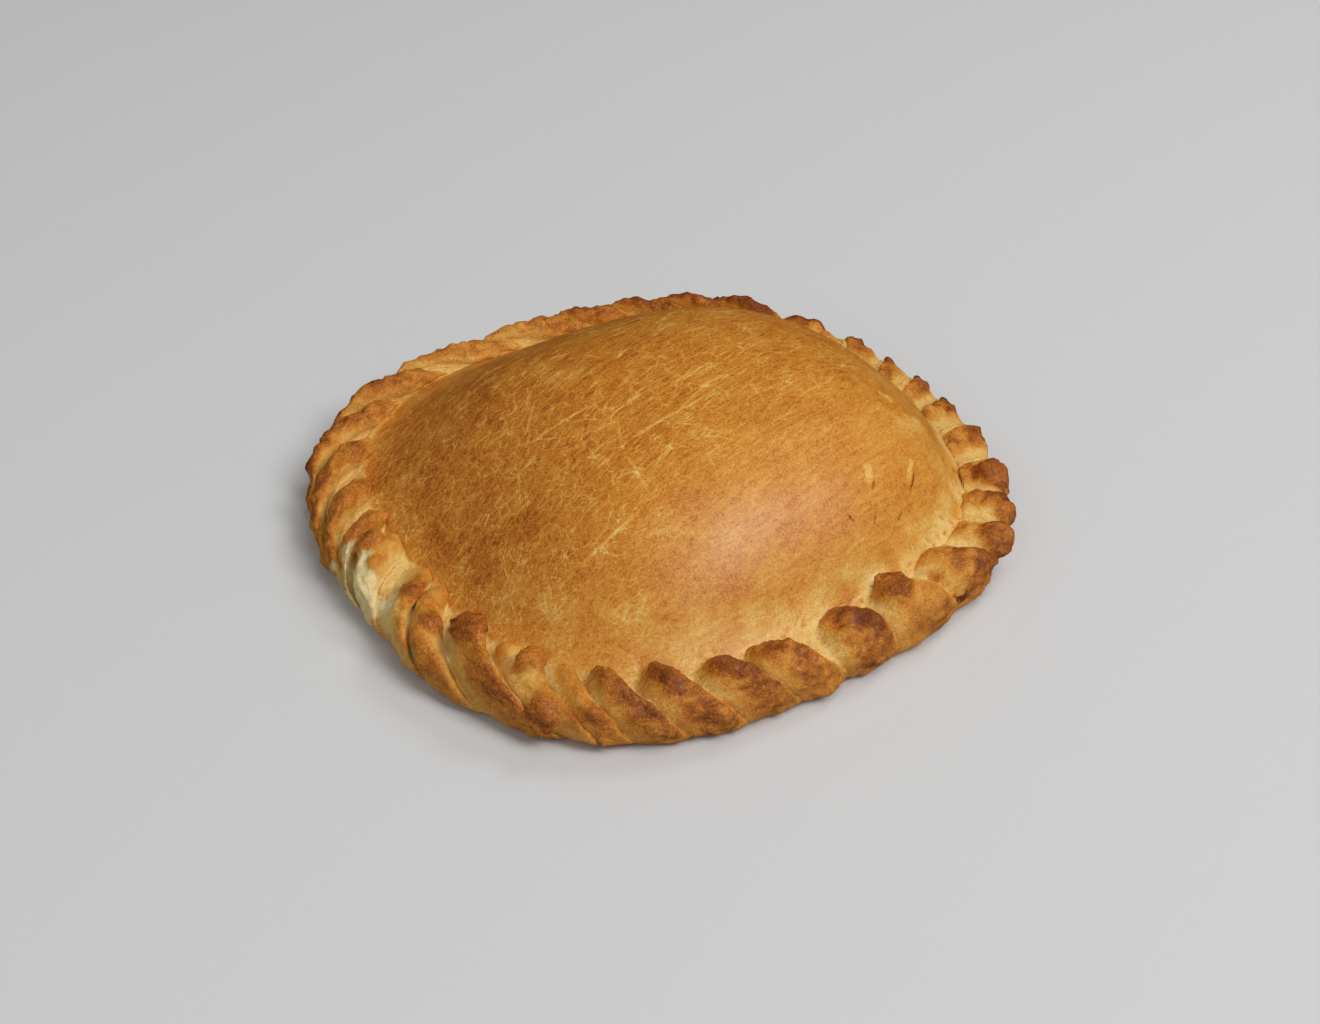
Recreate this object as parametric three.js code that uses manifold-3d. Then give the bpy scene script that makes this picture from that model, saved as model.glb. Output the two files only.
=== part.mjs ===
// A round, domed hand pie with a rope edge: one solid piece of baked pastry.
// Millimetres, +Z up. The origin is the middle of the flat base.
// Azimuths are degrees, counter-clockwise seen from above, from +X (the right-hand side).
import * as THREE from 'three';
import { mergeVertices } from 'three/addons/utils/BufferGeometryUtils.js';
import Module from 'manifold-3d';

// Outline in plan: a circle with a few shallow lobes, as hand-shaped dough has
const EDGE_RADIUS = 77.3;
const EDGE_LOBES = [
  { count: 2, depth: 1.9, azimuth: 31 },
  { count: 3, depth: 1.2, azimuth: 27 },
  { count: 4, depth: 2.5, azimuth: 77.5 },
];

// Dome: its top stands off centre, its right flank is full and its left flank falls away gently
const DOME_HEIGHT = 39;
const DOME_TOP = new THREE.Vector2(13, -7);
const DOME_POWER = 2.7;
const DOME_POWER_GAIN = 0.6;
const FULL_FRONT = 295;
const FLANK_POWER = 1.04;
const FLANK_POWER_CHANGE = 0.24;
const FULL_FLANK = -16;
const DOME_RINGS = 11;
const DOME_FOOT = 0.985;

// Groove where the rope edge meets the dome: the edge is widest at the front
const GROOVE_INSET = 11.8;
const INSET_LOBES = [
  { count: 1, depth: 2.8, azimuth: 255 },
  { count: 2, depth: 1, azimuth: 200 },
];
const GROOVE_HEIGHT = 9.8;

// Section of the rope edge from the groove over the top to the ground, in a crease and along a ridge:
// way inwards from the edge (0) to the groove (1) and height in each, and share of a fold's sweep done
const ROPE_SECTION = [
  { creaseIn: 1, creaseUp: 9.8, ridgeIn: 1, ridgeUp: 9.8, swept: 0 },
  { creaseIn: 0.9, creaseUp: 9.3, ridgeIn: 1.05, ridgeUp: 11.6, swept: 0.03 },
  { creaseIn: 0.78, creaseUp: 9, ridgeIn: 0.95, ridgeUp: 13.3, swept: 0.1 },
  { creaseIn: 0.62, creaseUp: 8.8, ridgeIn: 0.75, ridgeUp: 14.3, swept: 0.2 },
  { creaseIn: 0.45, creaseUp: 8.3, ridgeIn: 0.48, ridgeUp: 14.5, swept: 0.36 },
  { creaseIn: 0.3, creaseUp: 7.2, ridgeIn: 0.25, ridgeUp: 13, swept: 0.52 },
  { creaseIn: 0.2, creaseUp: 5.7, ridgeIn: 0.1, ridgeUp: 10.3, swept: 0.7 },
  { creaseIn: 0.15, creaseUp: 4.1, ridgeIn: 0.02, ridgeUp: 7, swept: 0.85 },
  { creaseIn: 0.17, creaseUp: 2.5, ridgeIn: 0.03, ridgeUp: 3.6, swept: 1 },
  { creaseIn: 0.25, creaseUp: 1.1, ridgeIn: 0.12, ridgeUp: 1.2, swept: 1.08 },
  { creaseIn: 0.4, creaseUp: 0, ridgeIn: 0.3, ridgeUp: 0, swept: 1.12 },
];
const SECTION_CREST = 14.5;
const SKIRT_START = 0.1;
const SKIRT_END = 0.6;
const RIDGE_LEAN = 1.2;
const FOLD_ROUNDNESS = 0.65;
const COLUMNS_PER_FOLD = 8;

// Folds of the rope edge in stretches of like ones: where each starts at the groove, how far it runs round
// the edge, its height, how far in it reaches, how wide the gap beside it is at the nose and at the skirt,
// and how full the gap is there
const STRETCHES = [
  stretch([0.5, 10.5], 4, 11.6, 0.9, 0.5, 0.35, 0.65, 0.45),
  stretch([21, 28.5, 36.5, 45, 55.5], 5, 10.3, 0.9, 0.5, 0.35, 0.7, 0.6),
  stretch([65, 75, 86, 96.5, 109, 127, 144], 20, 13.8, 1, 0.35, 0.05, 0.3, 0.45),
  stretch([156.5, 170.5], 24, 13.6, 1.02, 0.45, 0.1, 0, 0.1),
  stretch([183], 20, 13.6, 1.02, 0.45, 0.1, 0, 0.1),
  stretch([194.5], 13, 13.6, 1.02, 0.45, 0.1, 0, 0.1),
  stretch([203], 8, 13, 1, 0.3, 0.1, 0.1, 0.1),
  stretch([216, 222], 12, 12.5, 1, 0.25, 0.15, 0.3, 0.4),
  stretch([232], 20, 15, 0.95, 0.55, 0.4, 0, 0.2),
  stretch([246], 13, 11.5, 0.95, 0.05, 0.05, 0, 0.3),
  stretch([254], 9, 11.5, 0.9, 0.05, 0.05, 0, 0.1),
  stretch([260, 269, 279, 289], 10, 13.5, 0.84, 0.7, 0.1, 0, 0.5),
  stretch([307], 2, 13.5, 0.88, 0.6, 0.15, 0, 0.15),
  stretch([321], 1, 12.5, 0.9, 0.1, 0, 0, 0.15),
  stretch([333], 6, 12.5, 0.95, 0.4, 0.1, 0.2, 0.2),
  stretch([343.5, 352.5], 2, 11.6, 0.85, 0.5, 0.35, 0.65, 0.45),
];
const SWEEP_UNEVENNESS = 0.12;
const CREST_UNEVENNESS = 0.6;

// Knobs of dough pinched up on single folds
const KNOBS = [
  { azimuth: 243.5, inset: 11.4, height: 9.6, radius: 3 },
  { azimuth: 249, inset: 10, height: 9.6, radius: 3 },
  { azimuth: 254, inset: 3.6, height: 6, radius: 4 },
  { azimuth: 320.6, inset: 9.2, height: 10.2, radius: 3.8 },
  { azimuth: 344.4, inset: 3.4, height: 8.4, radius: 4 },
  { azimuth: 352, inset: 3, height: 8.4, radius: 3.4 },
  { azimuth: 0.5, inset: 4.4, height: 9.8, radius: 4 },
];
const KNOB_DETAIL = 1;

// A short stretch where the edge has torn open and left ragged crumb
const TEAR_START = 203;
const TEAR_END = 219;
const TEAR_LUMPS = 9;
const TEAR_LUMP_RADIUS = 3.2;
const TEAR_INSET = 4.2;
const TEAR_HEIGHT = 4.5;
const TEAR_UNEVENNESS = 0.25;

const CRUST_COLOUR = '#bd7a36';
const CRUST_ROUGHNESS = 0.5;
const SEED = 11;
const SMALLEST_DETAIL = 0.08;
const DEGREE = Math.PI / 180;
const { lerp, smoothstep } = THREE.MathUtils;

const wasm = await Module();
wasm.setup();

// Repeatable random numbers between -1 and 1
function randomNumbers(seed) {
  let state = seed;
  return () => {
    state = (state * 48271) % 2147483647;
    return (state / 2147483647) * 2 - 1;
  };
}

function stretch(tips, sweep, crest, reach, noseGap, skirtGap, noseFilling, skirtFilling) {
  return { tips, sweep, crest, reach, noseGap, skirtGap, noseFilling, skirtFilling };
}

// Sum of the lobes at an angle
function swing(lobes, angle) {
  return lobes.reduce((sum, { count, depth, azimuth }) => {
    const turn = count * (angle - azimuth * DEGREE);
    return sum + depth * Math.cos(turn);
  }, 0);
}

function edgeRadius(angle) {
  return EDGE_RADIUS + swing(EDGE_LOBES, angle);
}

function grooveInset(angle) {
  return GROOVE_INSET + swing(INSET_LOBES, angle);
}

// A point at a given distance inside the edge
function pointAtEdge(azimuth, inset, height) {
  const angle = azimuth * DEGREE;
  const radius = edgeRadius(angle) - inset;
  return new THREE.Vector3(radius * Math.cos(angle), radius * Math.sin(angle), height);
}

// Makes a closed geometry a solid, with shared vertices merged and collapsed triangles left out
function solidOf(geometry) {
  geometry.deleteAttribute('normal');
  geometry.deleteAttribute('uv');
  const merged = mergeVertices(geometry);
  const corners = merged.index.array;
  const triangles = [];
  for (let i = 0; i < corners.length; i += 3) {
    const [a, b, c] = corners.subarray(i, i + 3);
    if (a !== b && b !== c && c !== a) triangles.push(a, b, c);
  }
  return new wasm.Manifold(new wasm.Mesh({
    numProp: 3,
    vertProperties: merged.attributes.position.array,
    triVerts: Uint32Array.from(triangles),
  }));
}

function domePoint(share, angle) {
  const foot = edgeRadius(angle) - grooveInset(angle);
  const flankPower = FLANK_POWER - FLANK_POWER_CHANGE * Math.cos(angle - FULL_FLANK * DEGREE);
  const front = 0.5 + 0.5 * Math.cos(angle - FULL_FRONT * DEGREE);
  const power = DOME_POWER + DOME_POWER_GAIN * front * front;
  const rise = Math.pow(1 - Math.pow(share, power), flankPower);
  return new THREE.Vector3(
    DOME_TOP.x * (1 - share) + share * foot * Math.cos(angle),
    DOME_TOP.y * (1 - share) + share * foot * Math.sin(angle),
    GROOVE_HEIGHT + (DOME_HEIGHT - GROOVE_HEIGHT) * rise,
  );
}

function turnBetween(start, end) {
  return (end - start + 360) % 360;
}

// The single folds, each with the azimuth of the crease before it
function ropeFolds() {
  const random = randomNumbers(SEED);
  const folds = STRETCHES.flatMap(({ tips, ...alike }) => tips.map((tip) => ({ tip, ...alike })));
  folds.forEach((fold) => { fold.sweep *= 1 + SWEEP_UNEVENNESS * random(); });
  folds.forEach((fold) => { fold.crest += CREST_UNEVENNESS * random(); });
  folds.forEach((fold, index) => {
    const pitch = turnBetween(folds.at(index - 1).tip, fold.tip);
    fold.crease = fold.tip - pitch / 2;
  });
  return folds;
}

// Upright columns of the rope edge, evenly spread over each fold, with the values that shape them
function ropeColumns() {
  const folds = ropeFolds();
  return folds.flatMap((fold, index) => {
    const previous = folds.at(index - 1);
    const next = folds[(index + 1) % folds.length];
    const width = turnBetween(fold.crease, next.crease);
    const bend = Math.log(0.5) / Math.log((fold.tip - fold.crease) / width);
    return Array.from({ length: COLUMNS_PER_FOLD }, (_, column) => {
      const share = column / COLUMNS_PER_FOLD;
      const along = fold.crease + share * width;
      const [before, after] = along < fold.tip ? [previous, fold] : [fold, next];
      const passed = turnBetween(before.tip, along) / turnBetween(before.tip, after.tip);
      return {
        along,
        fold,
        across: Math.sin(Math.PI * Math.pow(share, bend)),
        sweep: lerp(before.sweep, after.sweep, passed),
        reach: lerp(before.reach, after.reach, passed),
        noseFilling: lerp(fold.noseFilling, next.noseFilling, share),
        skirtFilling: lerp(fold.skirtFilling, next.skirtFilling, share),
      };
    });
  });
}

// A point of the rope edge in one column and one row of the section
function ropePoint({ along, fold, across, sweep, reach, noseFilling, skirtFilling }, row) {
  const { creaseIn, creaseUp, ridgeIn, ridgeUp, swept } = ROPE_SECTION[row];
  const share = row / (ROPE_SECTION.length - 1);
  const outwards = smoothstep(share, SKIRT_START, SKIRT_END);
  const gap = lerp(fold.noseGap, fold.skirtGap, outwards);
  const ridge = Math.pow(Math.max((across - gap) / (1 - gap), 0), FOLD_ROUNDNESS);
  const filling = lerp(noseFilling, skirtFilling, outwards);
  const raised = filling + (1 - filling) * ridge;
  const growth = (fold.crest - GROOVE_HEIGHT) / (SECTION_CREST - GROOVE_HEIGHT);
  const overGroove = Math.max(ridgeUp - GROOVE_HEIGHT, 0);
  const azimuth = along + sweep * swept + RIDGE_LEAN * ridge * Math.sin(Math.PI * share);
  const inwards = reach * lerp(creaseIn, ridgeIn, raised);
  const height = lerp(creaseUp, ridgeUp + overGroove * (growth - 1), raised);
  return pointAtEdge(azimuth, inwards * grooveInset(azimuth * DEGREE), height);
}

// One column of the whole crust: the middle of the base, the rope edge up to the groove, and the dome
function crustColumn(column) {
  const rope = ROPE_SECTION.map((_, row) => ropePoint(column, row)).reverse();
  const dome = Array.from({ length: DOME_RINGS + 1 }, (_, ring) => {
    const share = ring === DOME_RINGS ? 0 : DOME_FOOT * Math.cos((ring / DOME_RINGS) * (Math.PI / 2));
    return domePoint(share, column.along * DEGREE);
  });
  return [new THREE.Vector3(), ...rope, ...dome];
}

// The dome and the rope edge: a turned body whose columns are pressed to their places
function crustBody() {
  const columns = ropeColumns().map(crustColumn);
  const profile = columns[0].map(({ x, y, z }) => new THREE.Vector2(Math.hypot(x, y), z));
  const body = new THREE.LatheGeometry(profile, columns.length);
  const positions = body.attributes.position;
  for (let i = 0; i < positions.count; i += 1) {
    const column = columns[Math.floor(i / profile.length) % columns.length];
    const { x, y, z } = column[i % profile.length];
    positions.setXYZ(i, x, y, z);
  }
  return body;
}

function knob({ azimuth, inset, height, radius }) {
  const place = pointAtEdge(azimuth, inset, height);
  return new THREE.IcosahedronGeometry(radius, KNOB_DETAIL).translate(place.x, place.y, place.z);
}

function tornCrumb() {
  const random = randomNumbers(SEED);
  const uneven = (size) => size * (1 + TEAR_UNEVENNESS * random());
  return Array.from({ length: TEAR_LUMPS }, (_, lump) => knob({
    azimuth: TEAR_START + (TEAR_END - TEAR_START) * (lump + 0.5) / TEAR_LUMPS,
    inset: uneven(TEAR_INSET),
    height: uneven(TEAR_HEIGHT),
    radius: uneven(TEAR_LUMP_RADIUS),
  }));
}

// The space below the base, cut away so that the underside is flat
function groundBlock() {
  const depth = DOME_HEIGHT;
  const width = EDGE_RADIUS * 3;
  return new THREE.BoxGeometry(width, width, depth).translate(0, 0, -depth / 2);
}

// The largest shell of a solid, so that a pocket sealed between two lumps is filled with dough
function largestShell(solid) {
  return solid.decompose().reduce((largest, shell) => (shell.volume() > largest.volume() ? shell : largest));
}

function empanadaGeometry() {
  const pieces = [...KNOBS.map(knob), ...tornCrumb()];
  const joined = pieces.reduce((solid, piece) => solid.add(solidOf(piece)), solidOf(crustBody()));
  const flatBased = joined.subtract(solidOf(groundBlock()));
  const { vertProperties, triVerts } = largestShell(flatBased).simplify(SMALLEST_DETAIL).getMesh();
  const geometry = new THREE.BufferGeometry();
  geometry.setAttribute('position', new THREE.BufferAttribute(vertProperties, 3));
  geometry.setIndex(new THREE.BufferAttribute(triVerts, 1));
  geometry.computeVertexNormals();
  return geometry;
}

const crust = new THREE.MeshStandardMaterial({
  color: CRUST_COLOUR,
  roughness: CRUST_ROUGHNESS,
  metalness: 0,
});
const empanada = new THREE.Mesh(empanadaGeometry(), crust);
empanada.name = 'empanada';

const part = new THREE.Group();
part.add(empanada);

export default part;
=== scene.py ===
import math
from collections import namedtuple

import bmesh
import bpy
import numpy as np
from bpy.props import FloatProperty, FloatVectorProperty, PointerProperty
from mathutils import Matrix, Vector, noise


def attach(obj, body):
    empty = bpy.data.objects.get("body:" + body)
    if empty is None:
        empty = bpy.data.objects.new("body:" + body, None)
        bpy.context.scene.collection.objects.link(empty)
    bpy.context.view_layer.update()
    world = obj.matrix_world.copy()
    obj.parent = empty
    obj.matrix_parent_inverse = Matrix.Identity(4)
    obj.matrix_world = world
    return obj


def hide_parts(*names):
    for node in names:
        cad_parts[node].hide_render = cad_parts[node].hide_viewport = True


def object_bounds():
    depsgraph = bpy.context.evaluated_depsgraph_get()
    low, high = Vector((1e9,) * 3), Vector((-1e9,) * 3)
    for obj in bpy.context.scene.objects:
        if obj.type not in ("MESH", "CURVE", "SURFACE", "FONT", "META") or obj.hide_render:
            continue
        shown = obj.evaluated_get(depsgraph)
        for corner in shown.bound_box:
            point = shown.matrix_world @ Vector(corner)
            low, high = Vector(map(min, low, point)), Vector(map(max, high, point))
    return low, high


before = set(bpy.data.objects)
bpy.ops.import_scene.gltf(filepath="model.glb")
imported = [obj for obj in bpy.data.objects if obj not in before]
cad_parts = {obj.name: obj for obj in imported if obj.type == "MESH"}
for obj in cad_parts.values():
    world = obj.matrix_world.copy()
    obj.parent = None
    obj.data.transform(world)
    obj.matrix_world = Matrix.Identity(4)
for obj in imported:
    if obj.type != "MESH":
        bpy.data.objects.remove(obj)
cad_low, cad_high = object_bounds()

bl_info = {
    "name": "Empanada",
    "version": (1, 0, 0),
    "blender": (4, 5, 0),
    "location": "3D View > Sidebar > Empanada",
    "description": "Models a round, domed hand pie with a rope edge and sets it in a plain studio",
    "category": "Object",
}

# Shapes are worked out in millimetres, with +Z up and the origin in the middle of the flat base.
# Azimuths are degrees, counter-clockwise seen from above, from +X.
MM = 0.001

# Random draws for the rope: each is the last times a factor, within a modulus
SEED = 11
RANDOM_FACTOR = 48271
RANDOM_MODULUS = 2147483647

# Waves that make a round outline uneven: how many go round, how far each reaches, and where one peaks
Lobe = namedtuple("Lobe", "count depth azimuth")
EDGE_LOBES = (Lobe(2, 1.9, 31), Lobe(3, 1.2, 27), Lobe(4, 2.5, 77.5))
INSET_LOBES = (Lobe(1, 2.8, 255), Lobe(2, 1, 200))

# The dome's top stands off centre. Its section is a power curve, fuller at the front and on the right
DOME_TOP = Vector((13, -7))
DOME_POWER = 2.7
DOME_POWER_GAIN = 0.6
FULL_FRONT = 295
FLANK_POWER = 1.04
FLANK_POWER_CHANGE = 0.24
FULL_FLANK = -16
DOME_CELLS = 130
DOME_GRID_SHARE = 0.985

# Sections of the rope from the groove over the top to the ground, in a crease and along a ridge:
# way inwards from the edge (0) to the groove (1), and height
CREASE_SECTION = (
    (1, 9.8), (0.9, 9.3), (0.78, 9), (0.62, 8.8), (0.45, 8.3), (0.3, 7.2), (0.2, 5.7), (0.15, 4.1),
    (0.17, 2.5), (0.25, 1.1), (0.4, 0),
)
RIDGE_SECTION = (
    (1, 9.8), (1.05, 11.6), (0.95, 13.3), (0.75, 14.3), (0.48, 14.5), (0.25, 13), (0.1, 10.3), (0.02, 7),
    (0.03, 3.6), (0.12, 1.2), (0.3, 0),
)
RIDGE_CREST = 14.5
# Share of a fold's sweep that is behind it at each point of the sections
SWEPT = (0, 0.03, 0.1, 0.2, 0.36, 0.52, 0.7, 0.85, 1, 1.08, 1.12)
# Shares of the sections over which the dome's skin turns into the rope's, and a fold's nose into its skirt
DOME_TO_ROPE = (0, 0.06)
NOSE_TO_SKIRT = (0.1, 0.6)
ROPE_ROWS = 68
COLUMN_PITCH = 0.42
COLUMN_CROWDING = 0.6
RIDGE_LEAN = 1.2

# Rope folds in stretches of like ones: where each starts at the groove, how far it runs round the edge, its
# height, how far in it reaches, how wide the gap beside it is at the nose and at the skirt, how full the
# gap is there, and how brown the fold is
Stretch = namedtuple("Stretch", (
    "tips", "sweep", "crest", "reach", "nose_gap", "skirt_gap", "nose_filling", "skirt_filling", "browning",
))
STRETCHES = (
    Stretch((0.5, 10.5), 4, 11.6, 0.9, 0.5, 0.35, 0.65, 0.45, 0.9),
    Stretch((21, 28.5, 36.5, 45, 55.5), 5, 10.3, 0.9, 0.5, 0.35, 0.7, 0.6, 0.95),
    Stretch((65, 75, 86, 96.5, 109, 127, 144), 20, 13.8, 1, 0.35, 0.05, 0.3, 0.45, 0.88),
    Stretch((156.5, 170.5), 24, 13.6, 1.02, 0.45, 0.1, 0, 0.1, 0.85),
    Stretch((183,), 20, 13.6, 1.02, 0.45, 0.1, 0, 0.1, 0.75),
    Stretch((194.5,), 13, 13.6, 1.02, 0.45, 0.1, 0, 0.1, 0.65),
    Stretch((203,), 8, 13, 1, 0.3, 0.1, 0.1, 0.1, 0.6),
    Stretch((216, 222), 12, 12.5, 1, 0.25, 0.15, 0.3, 0.4, 0.6),
    Stretch((232,), 20, 15, 0.95, 0.55, 0.4, 0, 0.2, 0.74),
    Stretch((246,), 13, 11.5, 0.95, 0.05, 0.05, 0, 0.3, 0.45),
    Stretch((254,), 9, 11.5, 0.9, 0.05, 0.05, 0, 0.1, 0.5),
    Stretch((260, 269, 279, 289), 10, 13.5, 0.84, 0.7, 0.1, 0, 0.5, 0.75),
    Stretch((307,), 2, 13.5, 0.88, 0.6, 0.15, 0, 0.15, 0.92),
    Stretch((321,), 1, 12.5, 0.9, 0.1, 0, 0, 0.15, 0.5),
    Stretch((333,), 6, 12.5, 0.95, 0.4, 0.1, 0.2, 0.2, 0.8),
    Stretch((343.5, 352.5), 2, 11.6, 0.85, 0.5, 0.35, 0.65, 0.45, 0.9),
)
FOLD_ROUNDNESS = 0.65
SWEEP_UNEVENNESS = 0.12
CREST_UNEVENNESS = 0.6

# Knobs of dough on single folds: where they lie, their radius, how far they rise, and how brown they are
Knob = namedtuple("Knob", "azimuth inset height radius rise browning")
KNOBS = (
    Knob(205, 8, 12, 4, 1.5, 0.75),
    Knob(221.5, 9, 13, 4.5, 0.5, 0.85),
    Knob(230, 8, 12.5, 4.5, 0.5, 0.85),
    Knob(236.5, 9.5, 15, 5.5, 1.4, 0.9),
    Knob(243.5, 11.4, 11.5, 3.6, 2, 0.6),
    Knob(249, 10.4, 11.5, 3.4, 2, 0.65),
    Knob(254, 2, 7, 5, 2, 0.7),
    Knob(320.6, 9.2, 12.5, 5.6, 2, 0.7),
    Knob(344.4, 2, 9, 5, 2, 0.55),
    Knob(352, 2, 9, 4, 1.6, 0.55),
    Knob(0.5, 4, 11, 5, 2, 0.55),
)
KNOB_FADE = (1, 0.35)

# Single marks in the crust, from one end to the other: half width, how much browner (or paler), and depth
Mark = namedtuple("Mark", "start end width change depth")
MARKS = (
    Mark((50, 4, 31), (52, 3, 30), 1, -0.35, 0.2),
    Mark((54, -5, 29), (58, 1, 25), 2.6, -0.2, 0),
    Mark((60, -35, 9.8), (66, -35.4, 4.2), 2, 0.6, 0.5),
    Mark((-55.5, -47, 10), (-52.3, -56, 6), 4.2, -0.32, 0),
)
MARK_FADE = (1.2, 0.4)

# Thin lines in the glaze, pale where it was scratched and dark where it split, with the same fields
STROKES = (
    Mark((-7, -24.5, 37), (13, -7.5, 39), 0.6, -0.3, 0),
    Mark((-28, -18, 31), (-11.5, -9, 37.5), 0.5, -0.25, 0),
    Mark((-28, -15, 31.5), (-26.5, -4, 33.5), 0.5, -0.25, 0),
    Mark((-16.5, -51, 23.5), (-2, -41.5, 33.5), 0.5, -0.25, 0),
    Mark((-7, -26.5, 36.5), (-0.5, -40, 34), 0.5, -0.2, 0),
    Mark((55, -12.5, 26), (54, -21, 24), 1.1, -0.3, 0.6),
    Mark((55.8, -16, 24.2), (54.6, -21.5, 22.6), 0.4, 0.35, 1),
    Mark((44, -21.5, 30), (45, -27, 28), 1.6, -0.26, 0.6),
    Mark((46, -24.5, 28.2), (45.6, -27.5, 27), 0.4, 0.3, 1),
    Mark((40, -34, 26), (42, -34.5, 24), 0.35, 0.3, 1),
    Mark((46.5, -29.5, 24), (46, -33, 22), 0.35, 0.2, 0.7),
    Mark((52.5, -26, 21), (51.5, -29, 20), 0.35, 0.22, 0.7),
)
# A stroke is full over its core, wanders a little, and fades towards its ends
STROKE_CORE = 0.3
STROKE_WANDER = 0.9
STROKE_ENDS = (0.2, 0.5)
# A place deep under the skin: strokes are drawn square to the line from here
UNDER_SKIN = Vector((0, 0, -20))

# A stretch of the edge that has torn to pale crumb. Its top and limit are ways inwards, as below
TEAR_MIDDLE = 210.5
TEAR_SPREAD = 9.5
TEAR_FADE = 0.45
TEAR_TOP = 0.62
TEAR_TOP_FADE = 0.14
TEAR_LIMIT = 0.75
TEAR_DEPTH = 0.9

# Noise on the skin: feature size, octaves, an offset that keeps it apart from the others, and strength
Bumps = namedtuple("Bumps", "size octaves offset strength")
LARGE_LUMPS = Bumps(7, 1, 3.1, 0.8)
SMALL_LUMPS = Bumps(3.2, 1, 2.3, 0.4)
ROPE_GRAIN = Bumps(1.3, 2, 6.1, 0.16)
PILLOWS = Bumps(3.6, 2, 4.4, 1)
DOME_WAVES = Bumps(26, 1, 8.2, 0.4)
RIPPLES = Bumps(9, 1, 1.7, 0.12)
GROOVE_HOLES = Bumps(1.3, 1, 1.3, 1)
TEAR_FLAKES = Bumps(1.5, 3, 9.1, 0.25)
TEAR_EDGE = Bumps(3.5, 3, 7.3, 1)
MARK_EDGE = Bumps(2.4, 2, 3.7, 0.6)
BROWNED_EDGE = Bumps(6, 1, 5.5, 0.3)
CREST_EDGE = Bumps(3, 2, 2.9, 0.45)
PATCHES = Bumps(9, 2, 6.6, 1)
OFFSET_SHARES = (1, 0.7, -1)
FRACTAL_FALL = 1
FRACTAL_STEP = 2

# Limits between which a share grows from 0 to 1 on the way inwards, which runs from the ground (0) over the
# rope to the groove (1), and up the dome to its top (2)
OUTER_FACE = (0.12, 0.4)
INNER_FACE = (0.65, 0.9)
ROPE_TOP = (0.25, 0.5)
INNER_HOLLOW = (0.25, 0.65)
DOME_FOOT = (1.12, 0.99)
# The same for the distance from the groove
GROOVE_BAND = (0.12, 0)
SEAM_BAND = (0.05, 0.01)
# The same for places in millimetres: height, way to the right, and way to the front right
RELIEF_START = (0.3, 2.5)
# Over this way to the right, painted shade darkens the dome's left and painted light pales the folds' left
PAINTED_LIGHT_LEFT_SIDE = (20, -55)
# Over this way to the front right, the dome is paled as a painted highlight
PAINTED_HIGHLIGHT_SIDE = (0, 60)
# The same for how far a place stands out, how much of a ridge it is, how browned, and for noise
CREST_BAND = (-0.5, 1.1)
RIDGE_BAND = (0.15, 0.8)
BROWNED_BAND = (0.3, 0.75)
PIT_BAND = (0.13, 0)
HOLE_BAND = (0.3, 0.5)

# Rounds of smoothing that fill the groove, and that find what stands out of the skin. A fold's nose is
# mostly kept from being smoothed
FILLET_ROUNDS = 40
CREST_ROUNDS = 60
SMOOTHING = 0.5
CREST_LIMIT = 1.6
ON_GROUND = 1e-3
ROPE_TRACE = 0.01
NOSE_KEPT = 0.8

# How done the crust is, from cream (0) to dark (1), and the azimuths that stayed palest
FOLD_DONE = 0.28
DOME_DONE = 0.57
PALE_FRONT = 305
PALE_RIGHT = 345

# Patterns in the crust: feature size, detail, roughness and distortion
Pattern = namedtuple("Pattern", "size detail roughness distortion", defaults=(2, 0.5, 0))
BLOTCHES = Pattern(11)
MOTTLE = Pattern(1.3, 5, 0.7, 0.5)
GRAIN = Pattern(0.45, 3, 0.7)
BRUSHING = Pattern(1.2, 4, 0.65, 0.4)
STREAKS = Pattern(2.8, 2, 0.5, 0.3)
CRACKLED_AREAS = Pattern(5)
STREAKED_AREAS = Pattern(7)
WARP = Pattern(2.5)
WARP_REACH = (0.9, 0.9, 0.9)
STREAK_WIDTH = 0.025
# Limits of noise between which an area of the glaze is crackled or streaked, or crumb is creamy
CRACKLED_BAND = (0.35, 0.55)
STREAKED_BAND = (0.42, 0.58)
CREAMY_BAND = (-0.25, 0.25)
# Limits of how done the folds are, between which they crack and take a gloss, and of how torn they are
PARCHED_BAND = (0.55, 0.75)
GLOSSY_BAND = (0.5, 0.8)
TORN_BAND = (0.25, 0.75)
# Ways that patterns are drawn out over the dome: azimuth and stretch
Draw = namedtuple("Draw", "azimuth stretch")
BRUSHED = Draw(50, 5)
STREAKED = Draw(50, 12)
CRACKED = Draw(48, 2.1)
# Nets of cracks in the glaze: size of their cells, and width in shares of a cell
Net = namedtuple("Net", "size width")
FINE_NET = Net(2.8, 0.07)
COARSE_NET = Net(5.6, 0.04)
PARCHED_NET = Net(3.4, 0.1)
# The glaze cracked where it is dry, which ends towards the front right
DRY_WAY = (0.7, -0.7, 0)
DRY_END = (16, 48)
DRY_UNEVENNESS = 50
SPECK_SPACING = 7
SPECK_FADE = (0.02, 0.06)
BUBBLE_SIZE = 1.4
BUMP_STRENGTH = 0.6
BUMP_DEPTH = 0.35

# Sockets of a Mix node for colours
MIX_SHARE = 0
MIX_FIRST = 6
MIX_SECOND = 7
MIX_RESULT = 2

# Soft lights: way to each, distance and size in metres, share of the power, and whether the glaze mirrors it
Lamp = namedtuple("Lamp", "name towards distance size share mirrored")
LAMPS = (
    Lamp("softbox", (0.57, -0.37, 0.73), 2, 0.9, 0.5, True),
    Lamp("back_right", (0.45, 0.5, 0.74), 2, 0.7, 0.2, False),
    Lamp("front_left", (-0.4, -0.65, 0.65), 2, 1.4, 0.17, False),
    Lamp("overhead", (0.3, -0.15, 0.94), 2, 1.2, 0.3, False),
)
WHITE = (1, 1, 1)
FLOOR_HALF_WIDTH = 4
FLOOR_ROUGHNESS = 0.6

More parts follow.
